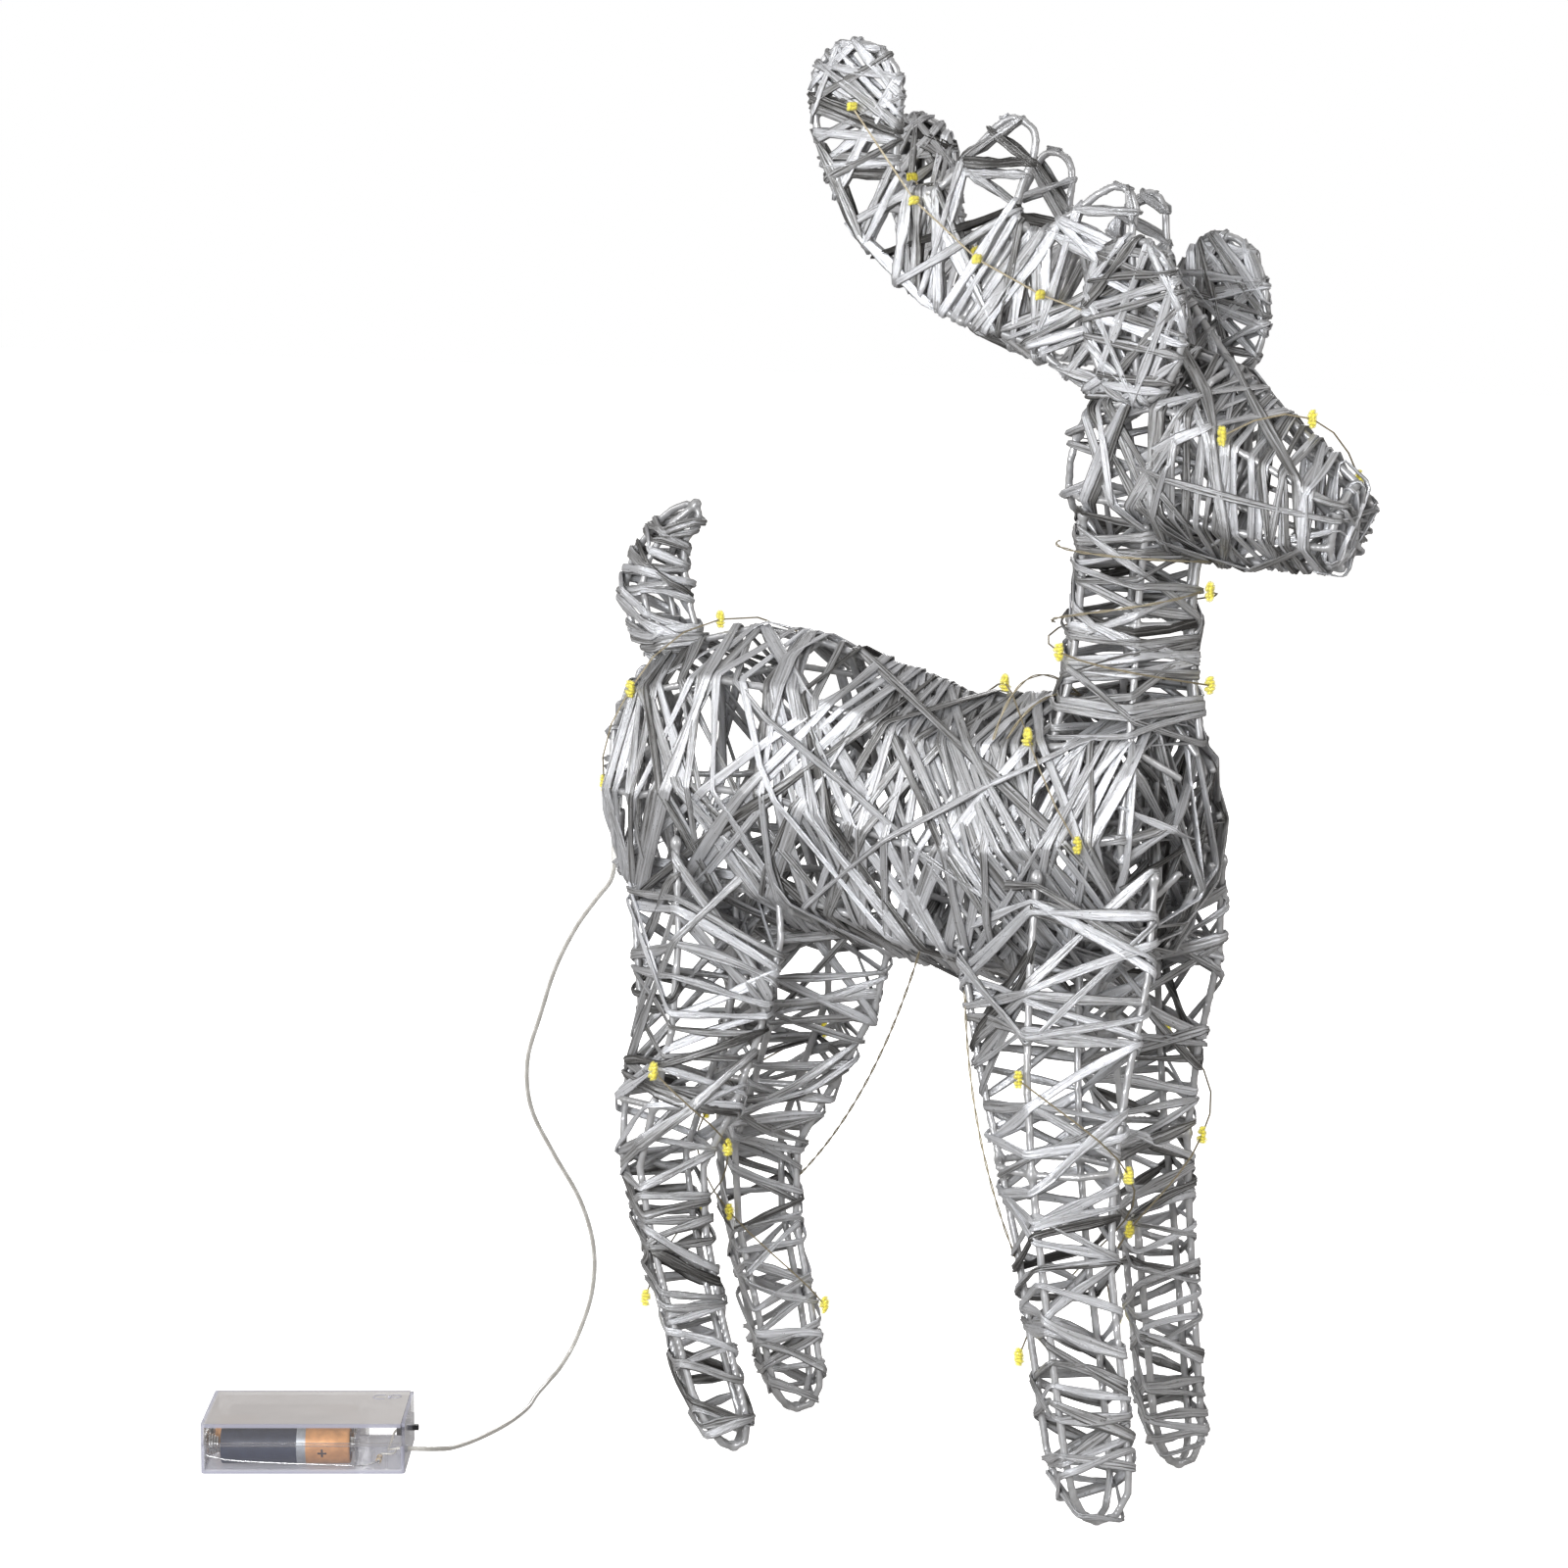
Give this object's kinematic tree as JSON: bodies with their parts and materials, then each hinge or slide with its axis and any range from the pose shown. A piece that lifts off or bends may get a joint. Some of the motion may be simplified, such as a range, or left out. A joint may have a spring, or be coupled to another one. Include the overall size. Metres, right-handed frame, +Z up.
{
  "type": "light up yard reindeer",
  "caption": "Standing reindeer figure: welded wire cage wound with flat silver twine, palmate antlers, a micro light string, and a clear battery box on a thin lead.",
  "frame": {"origin": "middle of the animal's own footprint box, on the ground it stands on", "axes": "+X the way the animal faces, +Y its left side, +Z up"},
  "size_m": [0.4247, 0.2225, 0.5379],
  "materials": {
    "frame_wire": "satin grey paint",
    "twine": "flat paper twine with a silver metallic coat",
    "micro_wire": "enamelled copper, twisted",
    "light_drop": "clear epoxy over a yellow chip",
    "clear_sleeve": "clear shrink sleeve",
    "clear_lead": "clear soft twin insulation",
    "clear_plastic": "clear moulded plastic, top face lightly frosted",
    "cell_jacket": "printed jacket, dark with a coppery end band",
    "bright_metal": "nickel plated",
    "resistor_body": "lacquered",
    "black_plastic": "matt",
    "core_sleeve": "pale insulation",
    "bush_plastic": "natural"
  },
  "bodies": {
    "reindeer": {"torso_frame": "frame_wire", "neck_frame": "frame_wire", "head_frame": "frame_wire", "right_antler_frame": "frame_wire", "left_antler_frame": "frame_wire", "right_ear_frame": "frame_wire", "left_ear_frame": "frame_wire", "tail_frame": "frame_wire", "front_right_leg_frame": "frame_wire", "front_left_leg_frame": "frame_wire", "rear_right_leg_frame": "frame_wire", "rear_left_leg_frame": "frame_wire", "torso_wrap": "twine", "neck_wrap": "twine", "head_wrap": "twine", "right_antler_wrap": "twine", "left_antler_wrap": "twine", "right_ear_wrap": "twine", "left_ear_wrap": "twine", "tail_wrap": "twine", "front_right_leg_wrap": "twine", "front_left_leg_wrap": "twine", "rear_right_leg_wrap": "twine", "rear_left_leg_wrap": "twine", "micro_wire": "micro_wire", "light_drops": "light_drop", "lead_sleeve": "clear_sleeve", "lead": "clear_lead", "battery_tray": "clear_plastic", "front_cell": "cell_jacket", "middle_cell": "cell_jacket", "back_cell": "cell_jacket", "contact_springs": "bright_metal", "contact_plates": "bright_metal", "bus_wire": "bright_metal", "resistor": "resistor_body", "switch_case": "black_plastic", "inner_leads": "core_sleeve", "lead_bush": "bush_plastic"},
    "battery_cover": {"battery_cover": "clear_plastic"},
    "switch_knob": {"switch_knob": "black_plastic"}
  },
  "joints": [
    {"name": "cover_slide", "type": "slide", "parent": "reindeer", "child": "battery_cover", "axis": [-0.848, -0.5299, 0], "range_m": [0, 0.075]},
    {"name": "switch_slide", "type": "slide", "parent": "reindeer", "child": "switch_knob", "axis": [-0.5299, 0.848, 0], "range_m": [-0.001, 0.001]}
  ]
}
